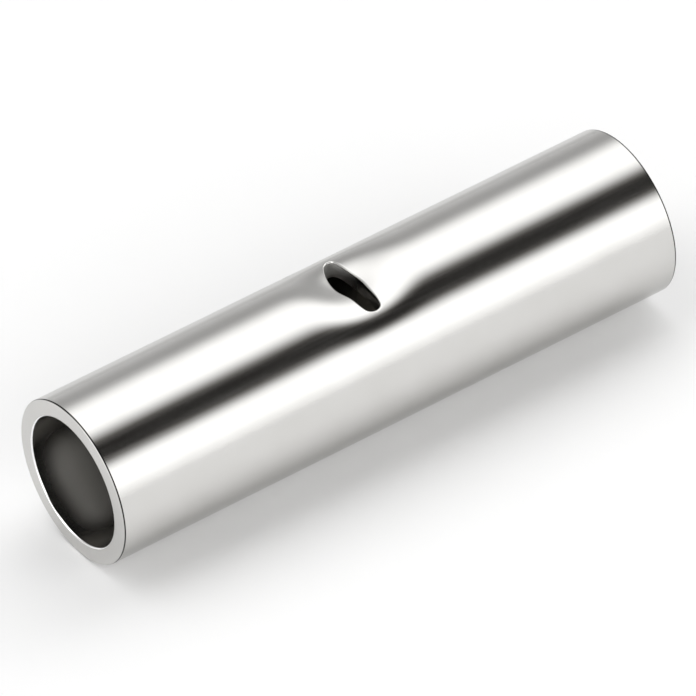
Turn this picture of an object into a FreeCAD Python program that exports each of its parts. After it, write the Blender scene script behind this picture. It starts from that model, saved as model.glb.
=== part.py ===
import FreeCAD, Part
import math
import os

# Butt splice connector: one seamless tube of tin-plated copper.
# The tube lies along X with the origin at the middle of its axis, and its window faces up, along +Z.
# Lengths are in millimetres and angles in degrees.

# The tube, whose bore takes a stranded conductor of 70 square millimetres from each end
tube_length = 53.0
outer_diameter = 14.0
wall_thickness = 1.45

# The sawn ends: a small countersink leads the strands in, and the outer corner is tumbled round
mouth_chamfer = 0.1
rim_radius = 0.12

# The saddle that is pressed into the top at mid-length, where it stops the strands of both wires
saddle_depth = 0.96
saddle_half_length = 7.4
saddle_half_angle = 59.0
saddle_softness = 5

# The inspection window across the valley of the saddle, an oval with blunt ends
window_length = 6.9
window_width = 2.2
window_end_radius = 0.6
window_edge_radius = 0.2

# The saddle is drawn through this many cross-sections, and a line across it through points this far apart
section_count = 17
point_spacing = 10.0

# Faces that lie closer together than this are one face
closeness = 0.001

outer_radius = outer_diameter / 2
bore_radius = outer_radius - wall_thickness
half_length = tube_length / 2
lengthwise = FreeCAD.Vector(1, 0, 0)
middle = FreeCAD.Vector(0, 0, 0)


def fade(share):
    """Fall smoothly from 1 in the middle of the saddle to 0 at its border, where the slope is 0 too."""
    return max(0.0, 1 - share * share) ** saddle_softness


def pressed_in(x, angle):
    """How far the press has moved the wall towards the axis, at x along the tube and angle from the top."""
    along = fade(x / saddle_half_length)
    around = fade(angle / saddle_half_angle)
    return saddle_depth * along * around


def around_axis(x, radius, angle):
    """The point at x along the tube, this far from its axis, and turned this far from the top."""
    turn = math.radians(angle)
    return FreeCAD.Vector(x, -radius * math.sin(turn), radius * math.cos(turn))


def stations():
    """Where the cross-sections of the saddle stand along the tube."""
    step = 2 * saddle_half_length / (section_count - 1)
    return [number * step - saddle_half_length for number in range(section_count)]


def skin_points(x, plain_radius, first_angle, last_angle):
    """Points of one skin of the pressed wall at x, evenly spaced from one angle to the other."""
    steps = round((last_angle - first_angle) / point_spacing)
    angles = [first_angle + (last_angle - first_angle) * number / steps for number in range(steps + 1)]
    return [around_axis(x, plain_radius - pressed_in(x, angle), angle) for angle in angles]


def smooth_line(points, closed):
    """A smooth line through the points, which are as far apart in it as in their list."""
    line = Part.BSplineCurve()
    even_steps = [float(number) for number in range(len(points) + closed)]
    line.interpolate(Points=points, PeriodicFlag=closed, Parameters=even_steps)
    return line.toShape()


def pressed_sector(x):
    """The part of the tube's outline at x that the press can reach, closed by two lines to the axis."""
    skin = skin_points(x, outer_radius, -saddle_half_angle, saddle_half_angle)
    axis_point = around_axis(x, 0, 0)
    return Part.Wire(
        [
            smooth_line(skin, False),
            Part.makeLine(skin[-1], axis_point),
            Part.makeLine(axis_point, skin[0]),
        ]
    )


def pressed_top():
    """The wedge of the bar under the press, from the axis out to the pressed skin."""
    return Part.makeLoft([pressed_sector(x) for x in stations()], True)


def plain_top():
    """The same wedge before it is pressed."""
    start = -saddle_half_angle
    corners = [
        around_axis(-saddle_half_length, 0, start),
        around_axis(-saddle_half_length, outer_diameter, start),
        around_axis(saddle_half_length, outer_diameter, start),
        around_axis(saddle_half_length, 0, start),
    ]
    border = Part.Face(Part.makePolygon(corners + corners[:1]))
    return border.revolve(middle, lengthwise, 2 * saddle_half_angle)


def solid_bar():
    """The outside of the tube as a solid bar, turned from its half profile with both outer corners round."""

    def point(x, radius):
        return around_axis(x, radius, 180)

    def round_corner(side):
        slack = rim_radius * (1 - math.sqrt(0.5))
        return Part.Arc(
            point(side * half_length, outer_radius - rim_radius),
            point(side * (half_length - slack), outer_radius - slack),
            point(side * (half_length - rim_radius), outer_radius),
        ).toShape()

    left = round_corner(-1)
    right = round_corner(1)
    outline = Part.Wire(
        [
            Part.makeLine(point(-half_length, 0), left.firstVertex().Point),
            left,
            Part.makeLine(left.lastVertex().Point, right.lastVertex().Point),
            right,
            Part.makeLine(right.firstVertex().Point, point(half_length, 0)),
            Part.makeLine(point(half_length, 0), point(-half_length, 0)),
        ]
    )
    return Part.Face(outline).revolve(middle, lengthwise, 360)


def pressed_bore():
    """The room inside the pressed wall, which is narrowed on top as deep as the skin above it is pressed."""
    rings = []
    for x in stations():
        ring = skin_points(x, bore_radius, -180, 180)[:-1]
        rings.append(Part.Wire(smooth_line(ring, True)))
    return Part.makeLoft(rings, True)


def wire_bore(side):
    """The round bore that takes one wire, from the saddle to the mouth, with its countersink."""
    outward = lengthwise * side
    length = half_length - saddle_half_length
    bore = Part.makeCylinder(bore_radius, length, outward * saddle_half_length, outward)
    start = outward * (half_length - mouth_chamfer)
    countersink = Part.makeCone(bore_radius, bore_radius + mouth_chamfer, mouth_chamfer, start, outward)
    return bore.fuse(countersink)


def window_punch():
    """The oval that is punched straight down through the top wall: two end arcs and two slack side arcs."""
    half_width = window_width / 2
    half_window = window_length / 2
    end_centre = half_window - window_end_radius
    slack = window_width - 2 * window_end_radius
    side_radius = (end_centre**2 + half_width**2 - window_end_radius**2) / slack
    side_centre = half_width - side_radius
    turn = math.atan2(end_centre, -side_centre)
    touch_x = side_centre + side_radius * math.cos(turn)
    touch_y = side_radius * math.sin(turn)

    def arc(start, through, end):
        return Part.Arc(*[FreeCAD.Vector(x, y, 0) for x, y in (start, through, end)]).toShape()

    outline = Part.Wire(
        [
            arc((touch_x, -touch_y), (half_width, 0), (touch_x, touch_y)),
            arc((touch_x, touch_y), (0, half_window), (-touch_x, touch_y)),
            arc((-touch_x, touch_y), (-half_width, 0), (-touch_x, -touch_y)),
            arc((-touch_x, -touch_y), (0, -half_window), (touch_x, -touch_y)),
        ]
    )
    return Part.Face(outline).extrude(FreeCAD.Vector(0, 0, outer_diameter))


def window_rim(tube):
    """The edges where the window's wall meets the outer skin, which the punch drags round."""
    reach = max(window_length, window_width) / 2
    near_skin = wall_thickness / 10

    def on_outer_skin(edge):
        point = edge.valueAt((edge.FirstParameter + edge.LastParameter) / 2)
        angle = math.degrees(math.atan2(-point.y, point.z))
        depth_in_wall = outer_radius - pressed_in(point.x, angle) - math.hypot(point.y, point.z)
        return abs(depth_in_wall) < near_skin

    def beside_window(edge):
        box = edge.BoundBox
        return box.ZMin > 0 and box.XMin > -reach and box.XMax < reach

    return [edge for edge in tube.Edges if beside_window(edge) and on_outer_skin(edge)]


def splice_tube():
    """The whole connector: a bar with a pressed top, bored from both ends, with a window through its top."""
    bar = solid_bar().cut(plain_top()).fuse([pressed_top()], closeness)
    room = pressed_bore().fuse([wire_bore(-1), wire_bore(1)], closeness)
    tube = bar.cut(room).removeSplitter()
    tube = tube.cut(window_punch())
    tube = tube.makeFillet(window_edge_radius, window_rim(tube))
    return tube.Solids[0]


os.makedirs("parts", exist_ok=True)
connector = splice_tube()
connector.exportStep("parts/splice_tube.step")
print("valid", connector.isValid(), "volume", round(connector.Volume, 1), "faces", len(connector.Faces))
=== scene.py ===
import math

import bmesh
import bpy
from mathutils import Matrix, Vector


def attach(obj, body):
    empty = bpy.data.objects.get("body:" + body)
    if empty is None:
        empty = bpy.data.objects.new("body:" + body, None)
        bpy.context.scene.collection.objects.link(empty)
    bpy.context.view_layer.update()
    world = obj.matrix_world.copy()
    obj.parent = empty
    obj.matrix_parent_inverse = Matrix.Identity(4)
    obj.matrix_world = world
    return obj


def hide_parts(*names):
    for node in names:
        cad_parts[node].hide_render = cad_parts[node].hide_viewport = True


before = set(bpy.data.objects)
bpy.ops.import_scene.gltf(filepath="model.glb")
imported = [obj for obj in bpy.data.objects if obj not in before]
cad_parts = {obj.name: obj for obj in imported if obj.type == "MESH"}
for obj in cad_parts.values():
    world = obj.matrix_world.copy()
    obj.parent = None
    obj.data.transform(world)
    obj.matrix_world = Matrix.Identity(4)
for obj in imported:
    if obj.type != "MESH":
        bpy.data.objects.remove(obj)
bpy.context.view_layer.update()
scene = bpy.context.scene
scene.view_settings.view_transform = "Standard"
mm = 0.001


# helpers for the materials
def linearColor(hexText):
    channels = [int(hexText[i:i + 2], 16) / 255 for i in (1, 3, 5)]
    return [c / 12.92 if c <= 0.04045 else ((c + 0.055) / 1.055) ** 2.4 for c in channels] + [1.0]


def addNode(tree, kind, settings=None, links=None):
    # settings: sockets by name or number, or the node's own properties; links: input -> output socket
    node = tree.nodes.new(kind)
    for name, value in (settings or {}).items():
        if isinstance(name, str) and hasattr(node, name) and name not in node.inputs:
            setattr(node, name, value)
        else:
            node.inputs[name].default_value = value
    for name, output in (links or {}).items():
        tree.links.new(output, node.inputs[name])
    return node


def fromTo(ends, unit=mm):
    # settings of a Map Range node that goes from 0 to 1 between two places
    return {"From Min": ends[0] * unit, "From Max": ends[1] * unit}


# the splice tube: the same sizes and formulas as the CAD part, in millimetres and degrees
tube = {
    "length": 53.0,
    "outerRadius": 7.0,
    "wall": 1.45,
    "rimRadius": 0.12,
    "mouthChamfer": 0.1,
    "saddleDepth": 0.96,
    "saddleHalfLength": 7.4,
    "saddleHalfAngle": 59.0,
    "saddleSoftness": 5,
    "windowLength": 6.9,
    "windowWidth": 2.2,
    "windowEndRadius": 0.6,
    "windowEdgeRadius": 0.2,
    # how the punch and the press left the window's outline, beside the true oval
    "windowBow": (0.3, 0.165),  # bent towards the right at both ends, and more at the back end
    "windowSlack": (0.21, 0.02, 0.06),  # share by which its left front, left back and right are pulled in
    "windowSlackAt": 0.463,  # where that is greatest, as a share of the way to its ends
    "windowTaper": 0.25,  # share by which its back end is narrower and its front end wider
    "windowShift": 0.06,  # both ends, towards the front
    # the mesh
    "around": 192,  # faces round the tube
    "cell": 0.3,  # length of a face along the saddle
    "saddleCells": 25,  # faces from the middle to the saddle's end
    "straightCells": 18,  # faces from there to the mouth
    "edgeLoop": 0.04,  # how far from a sharp edge the next row of faces begins
    "patchCells": (10, 26),  # faces from the window's middle to where its own rings begin, along and around
    "windowRings": 7,
    "rimSteps": 6,
    "sharpAngle": 30.0,
}
boreRadius = tube["outerRadius"] - tube["wall"]


def pressedIn(x, angle):
    # how far the press moved the wall towards the axis
    along = max(0.0, 1 - (x / tube["saddleHalfLength"]) ** 2) ** tube["saddleSoftness"]
    around = max(0.0, 1 - (angle / tube["saddleHalfAngle"]) ** 2) ** tube["saddleSoftness"]
    return tube["saddleDepth"] * along * around


def ringPoint(x, radius, angle):
    turn = math.radians(angle)
    return Vector((x, -radius * math.sin(turn), radius * math.cos(turn)))


def angleOf(point):
    return math.degrees(math.atan2(-point.y, point.z))


def radiusOf(point):
    return math.hypot(point.y, point.z)


def wallProfile():
    # (x, radius) once round the wall's section: outer skin, right end, bore, left end
    half = tube["length"] / 2
    outer = tube["outerRadius"]
    rim = tube["rimRadius"]
    mouth = tube["mouthChamfer"]
    loop = tube["edgeLoop"]
    cells = tube["saddleCells"]
    saddle = [i * tube["cell"] for i in range(-cells, cells + 1)]

    def straight(end):
        steps = tube["straightCells"]
        return [saddle[-1] + (end - saddle[-1]) * i / steps for i in range(1, steps + 1)]

    outerEnd = straight(half - rim - loop) + [half - rim]
    boreEnd = straight(half - mouth - loop) + [half - mouth]
    rimArc = []
    for i in range(1, tube["rimSteps"] + 1):
        turn = math.radians(90 * i / tube["rimSteps"])
        rimArc.append((half - rim + rim * math.sin(turn), outer - rim + rim * math.cos(turn)))
    mouthEdge = boreRadius + mouth
    face = [(half, outer - rim - loop), (half, mouthEdge + loop), (half, mouthEdge)]
    outerLine = [(x, outer) for x in saddle + outerEnd]
    boreLine = [(x, boreRadius) for x in reversed(saddle + boreEnd)]
    rightHalf = outerLine + rimArc + face + boreLine
    leftBore = [(-x, boreRadius) for x in boreEnd]
    leftFace = [(-x, r) for x, r in reversed(rimArc + face)]
    leftOuter = [(-x, outer) for x in reversed(outerEnd)]
    return rightHalf + leftBore + leftFace + leftOuter


def bowed(x, y):
    # a place of the true oval, moved to where the punch and the press left it
    share = y / (tube["windowLength"] / 2)
    slack = tube["windowSlack"][2 if x > 0 else int(y > 0)]
    slack *= math.sin(math.pi / 2 * share / tube["windowSlackAt"]) ** 2
    width = 1 - slack - tube["windowTaper"] * share ** 3
    atBoth, atBack = tube["windowBow"]
    return x * width + atBoth * share ** 2 + atBack * share ** 3, y - tube["windowShift"] * share ** 2


def windowOutline(count):
    # places round the window seen from above, evenly spaced, from the middle of its right side
    halfLength = tube["windowLength"] / 2
    halfWidth = tube["windowWidth"] / 2
    endRadius = tube["windowEndRadius"]
    endCentre = halfLength - endRadius
    sideRadius = (endCentre ** 2 + halfWidth ** 2 - endRadius ** 2) / (2 * (halfWidth - endRadius))
    sideCentre = halfWidth - sideRadius
    turn = math.atan2(endCentre, -sideCentre)
    sideArc = sideRadius * turn
    quarter = sideArc + endRadius * (math.pi / 2 - turn)
    points = []
    for i in range(count):
        place = (i / count * 4) % 4
        side = int(place)
        way = place - side
        run = quarter * (way if side % 2 == 0 else 1 - way)
        if run < sideArc:
            x = sideCentre + sideRadius * math.cos(run / sideRadius)
            y = sideRadius * math.sin(run / sideRadius)
        else:
            bend = turn + (run - sideArc) / endRadius
            x = endRadius * math.cos(bend)
            y = endCentre + endRadius * math.sin(bend)
        points.append(bowed(x if side in (0, 3) else -x, y if side in (0, 1) else -y))
    return points


def angleAt(x, y, plainRadius):
    # the angle from the top at which a skin passes over this place, once it is pressed
    angle = 0.0
    for _ in range(40):
        angle = math.degrees(math.asin(-y / (plainRadius - pressedIn(x, angle))))
    return angle


def nextRing(bm, ring, x, radius):
    made = bmesh.ops.extrude_edge_only(bm, edges=ring)["geom"]
    for v in made:
        if isinstance(v, bmesh.types.BMVert):
            v.co = ringPoint(x, radius, angleOf(v.co))
    return [e for e in made if isinstance(e, bmesh.types.BMEdge) and len(e.link_faces) == 1]


def openEdges(bm, plainRadius):
    # the edges of the hole in one skin
    edges = [e for e in bm.edges if len(e.link_faces) < 2]
    reach = tube["wall"] / 2
    return [e for e in edges if abs(radiusOf((e.verts[0].co + e.verts[1].co) / 2) - plainRadius) < reach]


def skinNormal(vertex):
    # the true slope of a skin, so that reflections run on smoothly
    # nothing for the edges, which keep the mesh's own
    x = vertex.co.x / mm
    angle = angleOf(vertex.co)
    radius = radiusOf(vertex.co) / mm
    near = 0.002
    step = 0.01
    outerEnd = tube["length"] / 2 - tube["rimRadius"]
    boreEnd = tube["length"] / 2 - tube["mouthChamfer"]
    for plainRadius, side, end in ((tube["outerRadius"], 1, outerEnd), (boreRadius, -1, boreEnd)):
        onSkin = abs(radius - plainRadius + pressedIn(x, angle)) < near and abs(x) < end - step
        if onSkin and all(e.smooth for e in vertex.link_edges):
            slopeAlong = (pressedIn(x + step, angle) - pressedIn(x - step, angle)) / (2 * step)
            slopeAround = (pressedIn(x, angle + step) - pressedIn(x, angle - step)) / math.radians(2 * step)
            outward = ringPoint(0, 1, angle)
            around = ringPoint(0, 1, angle + 90)
            return (outward + Vector((slopeAlong, 0, 0)) + around * slopeAround / radius).normalized() * side
    return Vector((0, 0, 0))


def turnWall(bm):
    profile = wallProfile()
    bmesh.ops.create_circle(bm, segments=tube["around"], radius=profile[0][1])
    bmesh.ops.rotate(bm, verts=bm.verts, cent=(0, 0, 0), matrix=Matrix.Rotation(math.pi / 2, 3, "Y"))
    bmesh.ops.translate(bm, verts=bm.verts, vec=(profile[0][0], 0, 0))
    first = list(bm.edges)
    ring = first
    for x, radius in profile[1:]:
        ring = nextRing(bm, ring, x, radius)
    bmesh.ops.bridge_loops(bm, edges=ring + first)
    print("tube: wall turned", len(bm.faces))


def openWindow(bm):
    # makes room for the window in both skins, and fills it with rings of faces down to the window's edge
    cellsAlong, cellsAround = tube["patchCells"]
    reachX = cellsAlong * tube["cell"]
    reachAngle = cellsAround * 360 / tube["around"]
    middle = {f: f.calc_center_median() for f in bm.faces}
    room = [f for f, c in middle.items() if abs(c.x) < reachX and abs(angleOf(c)) < reachAngle]
    bmesh.ops.delete(bm, geom=room, context="FACES")
    count = 4 * (cellsAlong + cellsAround)  # as many as there are edges round the room
    outline = windowOutline(count)
    rims = []
    for plainRadius in (tube["outerRadius"], boreRadius):
        border = openEdges(bm, plainRadius)
        made = bmesh.ops.create_circle(bm, segments=count, radius=1)["verts"]
        for v, (x, y) in zip(made, outline):
            v.co = ringPoint(x, plainRadius, angleAt(x, y, plainRadius))
        rim = list({e for v in made for e in v.link_edges})
        bmesh.ops.bridge_loops(bm, edges=border + rim)
        spokes = [e for v in made for e in v.link_edges if e not in rim]
        bmesh.ops.subdivide_edges(bm, edges=spokes, cuts=tube["windowRings"] - 1, use_grid_fill=True)
        rims.append(rim)
    return rims


def pressSaddle(bm):
    # both skins move in by the same amount
    middleOfWall = tube["outerRadius"] - tube["wall"] / 2
    for v in bm.verts:
        if abs(v.co.x) < tube["saddleHalfLength"]:
            plainRadius = tube["outerRadius"] if radiusOf(v.co) > middleOfWall else boreRadius
            angle = angleOf(v.co)
            v.co = ringPoint(v.co.x, plainRadius - pressedIn(v.co.x, angle), angle)


def makeTube():
    bm = bmesh.new()
    punched = bm.faces.layers.float.new("punched")
    turnWall(bm)
    outerRim, boreRim = openWindow(bm)
    pressSaddle(bm)

    # the punched wall of the window, torn most at its back end and dragged round on top
    tornFully = 3.0
    for f in bmesh.ops.bridge_loops(bm, edges=outerRim + boreRim)["faces"]:
        f[punched] = min(1, max(0, f.calc_center_median().y / tornFully))
    topEdge = [e for e in outerRim if e.is_valid]
    bevelled = bmesh.ops.bevel(bm, geom=topEdge, offset=tube["windowEdgeRadius"], offset_type="OFFSET",
                               segments=6, profile=0.5, affect="EDGES", material=-1, clamp_overlap=False)
    for f in bevelled["faces"]:
        f[punched] = 0
    bmesh.ops.remove_doubles(bm, verts=bm.verts, dist=0.0005)
    bmesh.ops.scale(bm, vec=(mm, mm, mm), verts=bm.verts)
    bmesh.ops.recalc_face_normals(bm, faces=bm.faces)
    for f in bm.faces:
        f.smooth = True
    for e in bm.edges:
        e.smooth = len(e.link_faces) == 2 and e.calc_face_angle(0) < math.radians(tube["sharpAngle"])
    print("tube: faces", len(bm.faces), "open edges", sum(len(e.link_faces) != 2 for e in bm.edges))
    normals = [skinNormal(v) for v in bm.verts]
    mesh = bpy.data.meshes.new("spliceWall")
    bm.to_mesh(mesh)
    bm.free()
    mesh.normals_split_custom_set_from_vertices(normals)
    piece = bpy.data.objects.new("spliceWall", mesh)
    scene.collection.objects.link(piece)
    return piece


# tin-plated copper: bright and a little soft, with the drawing lines of the tube still under the plating
tinLook = {
    "bright": "#D7D6D4",
    "dull": "#CECDCA",
    "inside": "#B4B2AE",  # painted shade: the bore's skin is coloured darker than the outside, standing in for the shade deep in the tube
    "edgeTint": 0.8,  # how much of the light the skin still throws back where it is seen edge on
    "roughness": (0.15, 0.2),
    "insideRoughness": 0.2,
    "cloudSize": 3.5,  # mm
    "boreRadius": (5.56, 5.75),  # mm from the axis: inside, outside
    # drawing lines, in mm: real ones are a few hundredths wide, and these are coarser so that they show
    "lineWidth": 0.16,
    "lineLength": 9.0,
    "lineDepth": 0.00012,
    "lineNoise": (0.3, 0.7),  # the noise seldom leaves this range
    # the patch that the strands roughen as they are pushed in, in mm from the middle of the tube
    "scuffed": 0.72,
    "scuffedFrom": (17.0, 24.2),
    "scuffedTo": (23.6, 26.4),
    "scuffedSide": (0.0, 0.69, -0.72),  # it lies on this side of the bore
    "scuffedReach": (2.9, 5.6),  # mm towards that side: where it starts and is full
    "punched": 0.75,  # roughness of the window's torn wall
    # painted reflection: a dark line on the sharp outer corner, standing in for the dark that the rounded edge
    # reflects
    "paintedRimReflection": "#1E1C1A",
    "paintedRimReflectionFrom": (26.34, 26.36),
    "paintedRimReflectionTo": (26.45, 26.47),
    "paintedRimReflectionRadius": 6.7,
    # painted highlight: the countersink is coloured white, brighter than the sawn face, standing in for the light
    # it catches
    "mouthEdge": "#FFFFFF",
    "paintedMouthHighlightFrom": 26.395,
    "paintedMouthHighlightRadius": 5.66,
}


def tinPlatedCopper():
    material = bpy.data.materials.new("tinPlatedCopper")
    material.use_nodes = True
    tree = material.node_tree
    tree.nodes.clear()

    # where a place is: along the tube, and how far from its axis
    place = addNode(tree, "ShaderNodeTexCoord").outputs["Object"]
    parts = addNode(tree, "ShaderNodeSeparateXYZ", None, {"Vector": place})
    flat = addNode(tree, "ShaderNodeCombineXYZ", None, {"Y": parts.outputs["Y"], "Z": parts.outputs["Z"]})
    reach = addNode(tree, "ShaderNodeVectorMath", {"operation": "LENGTH"},
                    {0: flat.outputs["Vector"]}).outputs["Value"]
    along = addNode(tree, "ShaderNodeMath", {"operation": "ABSOLUTE"}, {0: parts.outputs["X"]}).outputs["Value"]

    def bandAlong(start, end, softness):
        # 1 between the two places along the tube
        rises, falls = (
            addNode(tree, "ShaderNodeMapRange", {"interpolation_type": softness, **fromTo(tinLook[key])},
                    {"Value": along}).outputs["Result"] for key in (start, end))
        return addNode(tree, "ShaderNodeMath", {"operation": "SUBTRACT", "use_clamp": True},
                       {0: rises, 1: falls}).outputs["Value"]

    # drawing lines: fine across, long along X
    lines = addNode(tree, "ShaderNodeMapping", {"vector_type": "POINT"}, {"Vector": place})
    across = 1 / (tinLook["lineWidth"] * mm)
    lines.inputs["Scale"].default_value = (1 / (tinLook["lineLength"] * mm), across, across)
    lineNoise = addNode(tree, "ShaderNodeTexNoise", {"Scale": 1.0, "Detail": 3.0, "Roughness": 0.6},
                        {"Vector": lines.outputs["Vector"]}).outputs["Fac"]

    # colour: cloudy skin, painted shade in the bore, and on the two edges a painted dark reflection and a painted
    # highlight
    clouds = addNode(tree, "ShaderNodeTexNoise", {"Scale": 1 / (tinLook["cloudSize"] * mm), "Detail": 3.0},
                     {"Vector": place})
    # where the bore's painted shade begins; the same share also sets the bore's roughness
    inside = addNode(tree, "ShaderNodeMapRange", {**fromTo(tinLook["boreRadius"]), "To Min": 1.0, "To Max": 0.0},
                     {"Value": reach}).outputs["Result"]
    # painted reflection: the dark line along the outer corner at both mouths
    nearCorner = addNode(tree, "ShaderNodeMath",
                         {"operation": "GREATER_THAN", 1: tinLook["paintedRimReflectionRadius"] * mm}, {0: reach})
    rimReflectionMask = addNode(tree, "ShaderNodeMath", {"operation": "MULTIPLY"},
                   {0: bandAlong("paintedRimReflectionFrom", "paintedRimReflectionTo", "LINEAR"), 1: nearCorner.outputs["Value"]})
    # painted highlight: the countersink at both mouths is coloured white
    nearMouth = addNode(tree, "ShaderNodeMath",
                        {"operation": "GREATER_THAN", 1: tinLook["paintedMouthHighlightFrom"] * mm}, {0: along})
    nearBore = addNode(tree, "ShaderNodeMath",
                       {"operation": "LESS_THAN", 1: tinLook["paintedMouthHighlightRadius"] * mm}, {0: reach})
    mouthHighlightMask = addNode(tree, "ShaderNodeMath", {"operation": "MULTIPLY"},
                       {0: nearMouth.outputs["Value"], 1: nearBore.outputs["Value"]})
    color = addNode(tree, "ShaderNodeMix",
                    {"data_type": "RGBA", 6: linearColor(tinLook["dull"]), 7: linearColor(tinLook["bright"])},
                    {0: clouds.outputs["Fac"]}).outputs[2]
    # painted light over the skin: shade in the bore, a dark reflection on the outer corner, a highlight on the
    # countersink
    for name, share in (("inside", inside), ("paintedRimReflection", rimReflectionMask.outputs["Value"]),
                        ("mouthEdge", mouthHighlightMask.outputs["Value"])):
        color = addNode(tree, "ShaderNodeMix", {"data_type": "RGBA", 7: linearColor(tinLook[name])},
                        {0: share, 6: color}).outputs[2]

    # roughness: lines outside, the scuffed patch inside, and the torn wall of the window
    low, high = tinLook["roughness"]
    grain = addNode(tree, "ShaderNodeMapRange",
                    {**fromTo(tinLook["lineNoise"], 1), "To Min": low, "To Max": high}, {"Value": lineNoise})
    facing = addNode(tree, "ShaderNodeVectorMath", {"operation": "DOT_PRODUCT", 1: tinLook["scuffedSide"]},
                     {0: place})
    side = addNode(tree, "ShaderNodeMapRange",
                   {"interpolation_type": "SMOOTHSTEP", **fromTo(tinLook["scuffedReach"])},
                   {"Value": facing.outputs["Value"]})
    scuff = addNode(tree, "ShaderNodeMath", {"operation": "MULTIPLY"},
                    {0: bandAlong("scuffedFrom", "scuffedTo", "SMOOTHSTEP"), 1: side.outputs["Result"]})
    dull = addNode(tree, "ShaderNodeMix",
                   {"data_type": "FLOAT", 2: tinLook["insideRoughness"], 3: tinLook["scuffed"]},
                   {0: scuff.outputs["Value"]})
    rough = addNode(tree, "ShaderNodeMix", {"data_type": "FLOAT"},
                    {0: inside, 2: grain.outputs["Result"], 3: dull.outputs[0]})
    punched = addNode(tree, "ShaderNodeAttribute", {"attribute_name": "punched"})
    torn = addNode(tree, "ShaderNodeMix", {"data_type": "FLOAT", 3: tinLook["punched"]},
                   {0: punched.outputs["Fac"], 2: rough.outputs[0]})

    bump = addNode(tree, "ShaderNodeBump", {"Strength": 1.0, "Distance": tinLook["lineDepth"] * mm},
                   {"Height": lineNoise})
    edge = tinLook["edgeTint"]
    shader = addNode(tree, "ShaderNodeBsdfPrincipled", {"Metallic": 1.0, "Specular Tint": (edge, edge, edge, 1.0)},
                     {"Base Color": color, "Roughness": torn.outputs[0], "Normal": bump.outputs["Normal"]})
    addNode(tree, "ShaderNodeOutputMaterial", None, {"Surface": shader.outputs["BSDF"]})
    return material


spliceWall = makeTube()
spliceWall.data.materials.append(tinPlatedCopper())
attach(spliceWall, "root")
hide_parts("splice_tube")
print("tube: dressed")


# the studio: a pale floor and a dome with two soft boxes, one in front and one overhead to the back
studio = {
    "floor": "#FDFDFD",
    "floorBack": "#DADADA",
    "floorFade": (48.0, 120.0),  # mm behind the tube, where the white board turns pale grey
    "floorSize": 20.0,  # m from its middle to its edges
    # degrees up from the front horizon, over the top to the back one, and how bright the dome is there
    "dome": [(-180, 0.8), (-8, 1.05), (0, 1.2), (9, 1.44), (17, 1.76), (35, 1.76), (41, 1.38), (47, 0.55),
             (51, 0.1), (56, 0.012), (73, 0.012), (78.5, 0.1), (85, 0.75), (93, 1.5), (101, 1.76), (125, 1.68),
             (133, 1.42), (143, 0.8), (151, 0.5), (160, 0.5), (169, 0.61), (180, 0.82)],
    "gap": (1.1, 1.0, 0.88),  # the dark between the two boxes is a warm wall
    "gapBelow": 0.15,  # what is darker than this belongs to the gap
    "ends": 1.9,  # how bright the dome is beyond both mouths of the tube
    "endFade": (0.75, 0.97),
}


def buildDome():
    world = bpy.data.worlds.new("studioDome")
    scene.world = world
    world.use_nodes = True
    tree = world.node_tree
    tree.nodes.clear()
    way = addNode(tree, "ShaderNodeTexCoord").outputs["Generated"]
    parts = addNode(tree, "ShaderNodeSeparateXYZ", None, {"Vector": way})
    front = addNode(tree, "ShaderNodeMath", {"operation": "MULTIPLY", 1: -1.0}, {0: parts.outputs["Y"]})
    angle = addNode(tree, "ShaderNodeMath", {"operation": "ARCTAN2"},
                    {0: parts.outputs["Z"], 1: front.outputs["Value"]})
    share = addNode(tree, "ShaderNodeMapRange", fromTo((-math.pi, math.pi), 1), {"Value": angle.outputs["Value"]})
    ramp = addNode(tree, "ShaderNodeValToRGB", None, {"Fac": share.outputs["Result"]})
    strength = max([bright for _, bright in studio["dome"]] + [studio["ends"]])  # a ramp holds no more than 1
    elements = ramp.color_ramp.elements
    while len(elements) < len(studio["dome"]):
        elements.new(0.5)
    for element, (degrees, bright) in zip(elements, studio["dome"]):
        tint = studio["gap"] if bright < studio["gapBelow"] else (1, 1, 1)
        element.position = (degrees + 180) / 360
        element.color = [bright / strength * channel for channel in tint] + [1]
    side = addNode(tree, "ShaderNodeMath", {"operation": "ABSOLUTE"}, {0: parts.outputs["X"]})
    fade = addNode(tree, "ShaderNodeMapRange",
                   {"interpolation_type": "SMOOTHSTEP", **fromTo(studio["endFade"], 1)},
                   {"Value": side.outputs["Value"]})
    end = studio["ends"] / strength
    light = addNode(tree, "ShaderNodeMix", {"data_type": "RGBA", 7: (end, end, end, 1.0)},
                    {0: fade.outputs["Result"], 6: ramp.outputs["Color"]})
    glow = addNode(tree, "ShaderNodeBackground", {"Strength": strength}, {"Color": light.outputs[2]})
    addNode(tree, "ShaderNodeOutputWorld", None, {"Surface": glow.outputs["Background"]})


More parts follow.
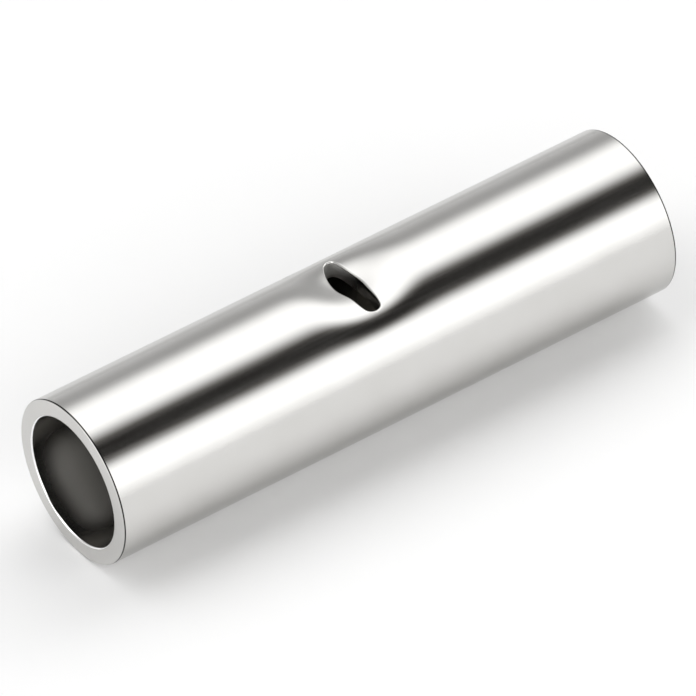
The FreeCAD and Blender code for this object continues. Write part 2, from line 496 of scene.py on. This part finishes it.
def paleBoard():
    # a matt painted board, which shows a soft shadow and no reflection
    material = bpy.data.materials.new("paleBoard")
    material.use_nodes = True
    tree = material.node_tree
    tree.nodes.clear()
    place = addNode(tree, "ShaderNodeTexCoord").outputs["Object"]
    parts = addNode(tree, "ShaderNodeSeparateXYZ", None, {"Vector": place})
    behind = addNode(tree, "ShaderNodeMapRange",
                     {"interpolation_type": "SMOOTHSTEP", **fromTo(studio["floorFade"])},
                     {"Value": parts.outputs["Y"]})
    board = addNode(tree, "ShaderNodeMix",
                    {"data_type": "RGBA", 6: linearColor(studio["floor"]), 7: linearColor(studio["floorBack"])},
                    {0: behind.outputs["Result"]})
    matt = addNode(tree, "ShaderNodeBsdfDiffuse", None, {"Color": board.outputs[2]})
    addNode(tree, "ShaderNodeOutputMaterial", None, {"Surface": matt.outputs["BSDF"]})
    return material


def layFloor():
    bm = bmesh.new()
    bmesh.ops.create_grid(bm, x_segments=1, y_segments=1, size=studio["floorSize"])
    bmesh.ops.translate(bm, verts=bm.verts, vec=(0, 0, -tube["outerRadius"] * mm))
    mesh = bpy.data.meshes.new("studioFloor")
    bm.to_mesh(mesh)
    bm.free()
    floor = bpy.data.objects.new("studioFloor", mesh)
    scene.collection.objects.link(floor)
    floor.data.materials.append(paleBoard())


buildDome()
layFloor()
print("studio: built")


# the camera, at the photograph's viewing angle
view = {
    "azimuth": -123.65,
    "elevation": 39.81,
    "roll": -3.19,
    "distance": 0.959,
    "lens": 635.6,
    "aim": (-0.246, -0.239),  # mm right and up of the tube's middle
}


def placeCamera():
    azimuth, elevation, roll = (math.radians(view[k]) for k in ("azimuth", "elevation", "roll"))
    back = Vector((math.cos(elevation) * math.cos(azimuth), math.cos(elevation) * math.sin(azimuth),
                   math.sin(elevation)))
    level = Vector((-math.sin(azimuth), math.cos(azimuth), 0))
    upright = back.cross(level)
    right = level * math.cos(roll) + upright * math.sin(roll)
    up = upright * math.cos(roll) - level * math.sin(roll)
    place = back * view["distance"] + right * view["aim"][0] * mm + up * view["aim"][1] * mm
    data = bpy.data.cameras.new("camera")
    data.sensor_width = 36.0
    data.lens = view["lens"]
    data.clip_start = 0.01
    data.clip_end = 100.0
    camera = bpy.data.objects.new("camera", data)
    scene.collection.objects.link(camera)
    camera.matrix_world = Matrix((
        (right.x, up.x, back.x, place.x),
        (right.y, up.y, back.y, place.y),
        (right.z, up.z, back.z, place.z),
        (0, 0, 0, 1),
    ))
    scene.camera = camera
    print("camera: placed")


placeCamera()
